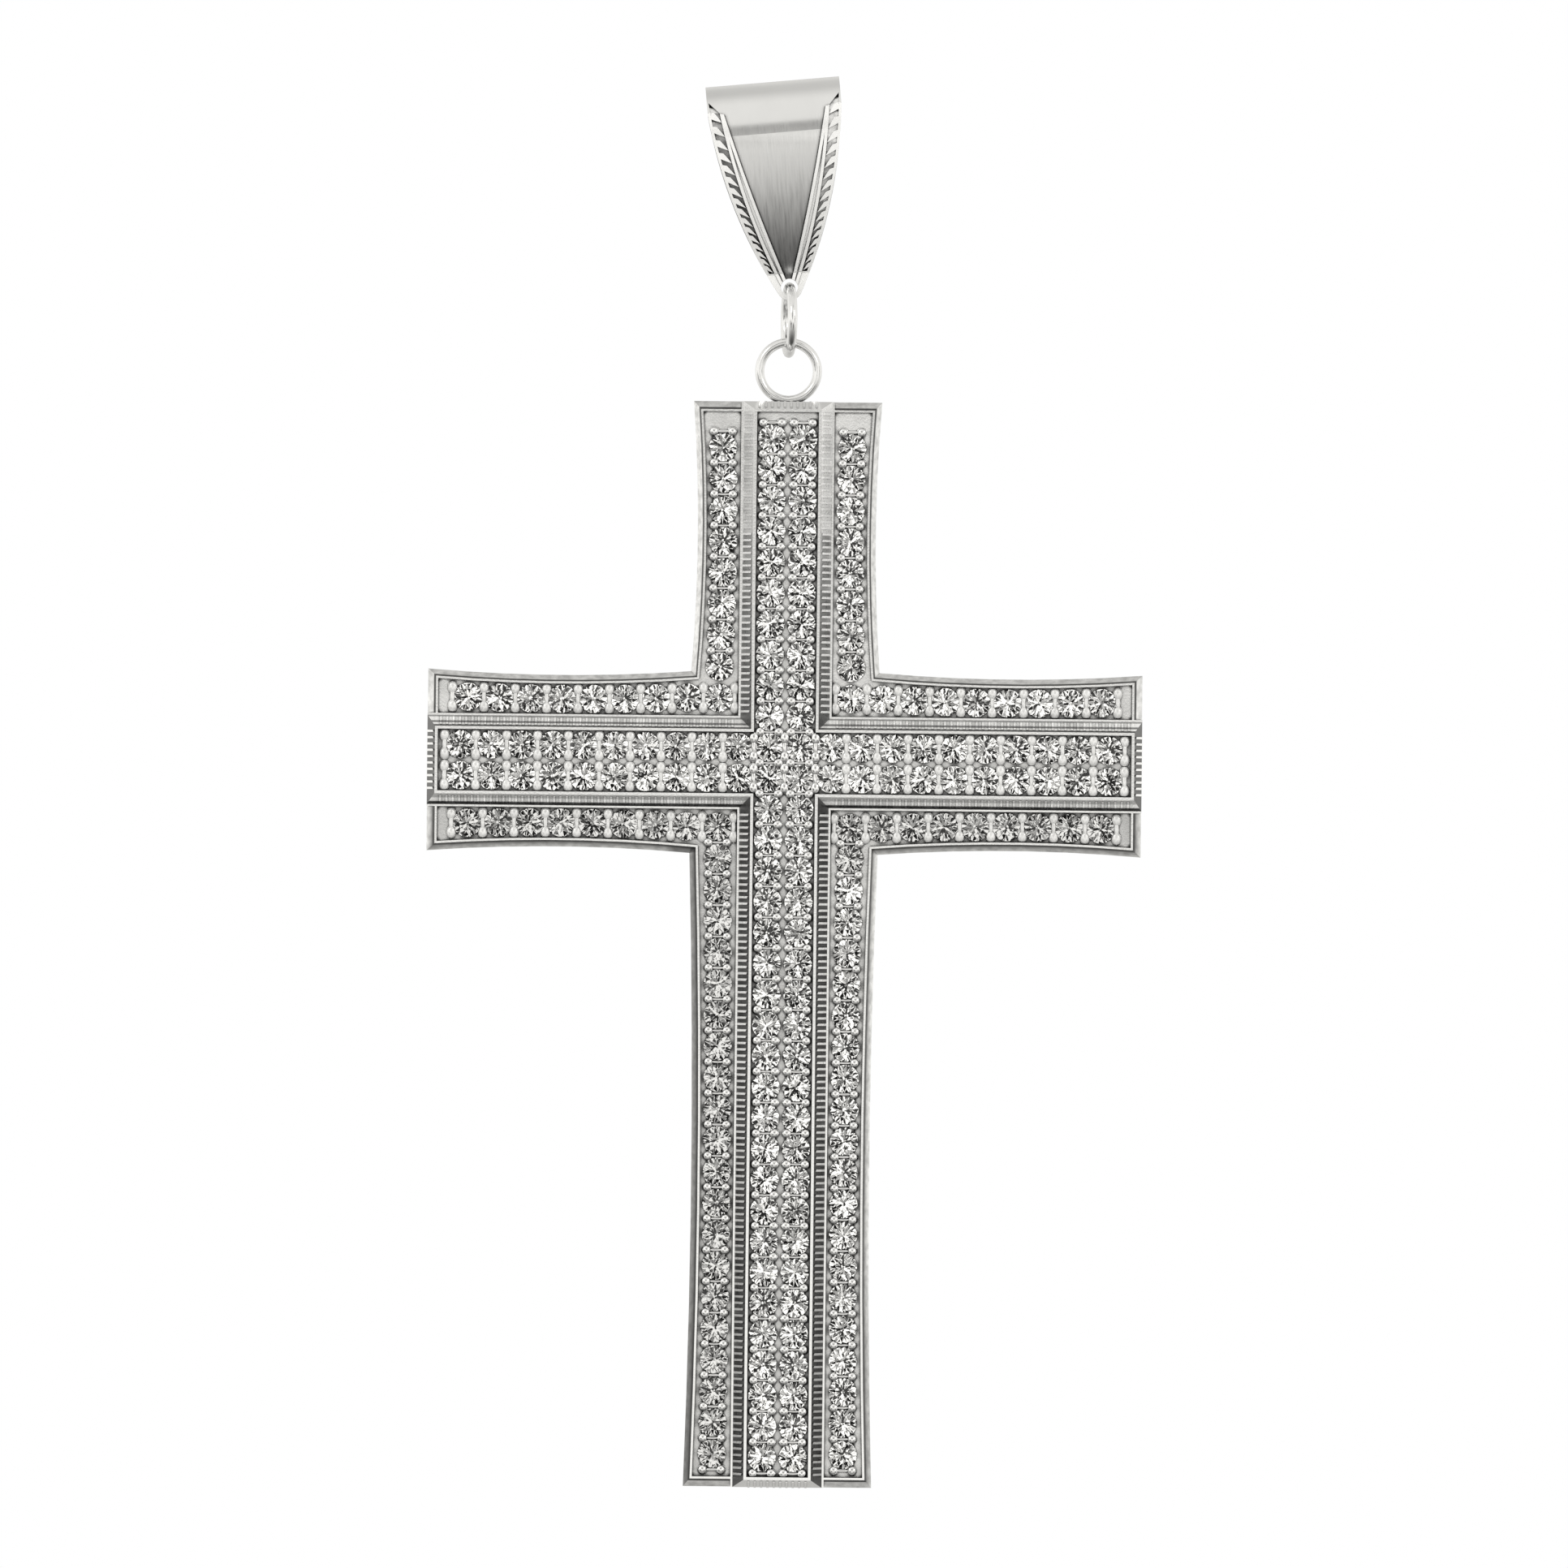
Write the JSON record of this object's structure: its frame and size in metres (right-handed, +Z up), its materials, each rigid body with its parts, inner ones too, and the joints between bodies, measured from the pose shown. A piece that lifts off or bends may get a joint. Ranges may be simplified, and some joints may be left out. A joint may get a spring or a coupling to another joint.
{
  "type": "cross pendant",
  "caption": "Two-level silver cross set with small clear stones, hung by a jump ring from a tapered folded bail.",
  "frame": {"origin": "the spot under the top of the bail where a chain bears, with the pendant hanging at rest", "axes": "+Z up, +X to the right as seen from the front, and the set front of the cross faces -Y"},
  "size_m": [0.044, 0.0067, 0.0869],
  "materials": {
    "satin_silver": "satin panel brushed up and down, with bright cut edges",
    "polished_silver": "polished cast silver",
    "clear_stone": "faceted colourless stone"
  },
  "bodies": {
    "bail": {"bail": "satin_silver"},
    "link": {"link_ring": "polished_silver"},
    "cross": {"cross_frame": "polished_silver", "centre_stones": "clear_stone", "side_stones": "clear_stone"}
  },
  "joints": [
    {"name": "link_swing", "type": "hinge", "parent": "bail", "child": "link", "pos_m": [0.00112, 0, -0.0119], "axis": [0, 1, 0], "range_deg": [-90, 90]},
    {"name": "cross_swing", "type": "hinge", "parent": "link", "child": "cross", "pos_m": [0.00112, 0, -0.0153], "axis": [1, 0, 0], "range_deg": [-90, 90]}
  ]
}
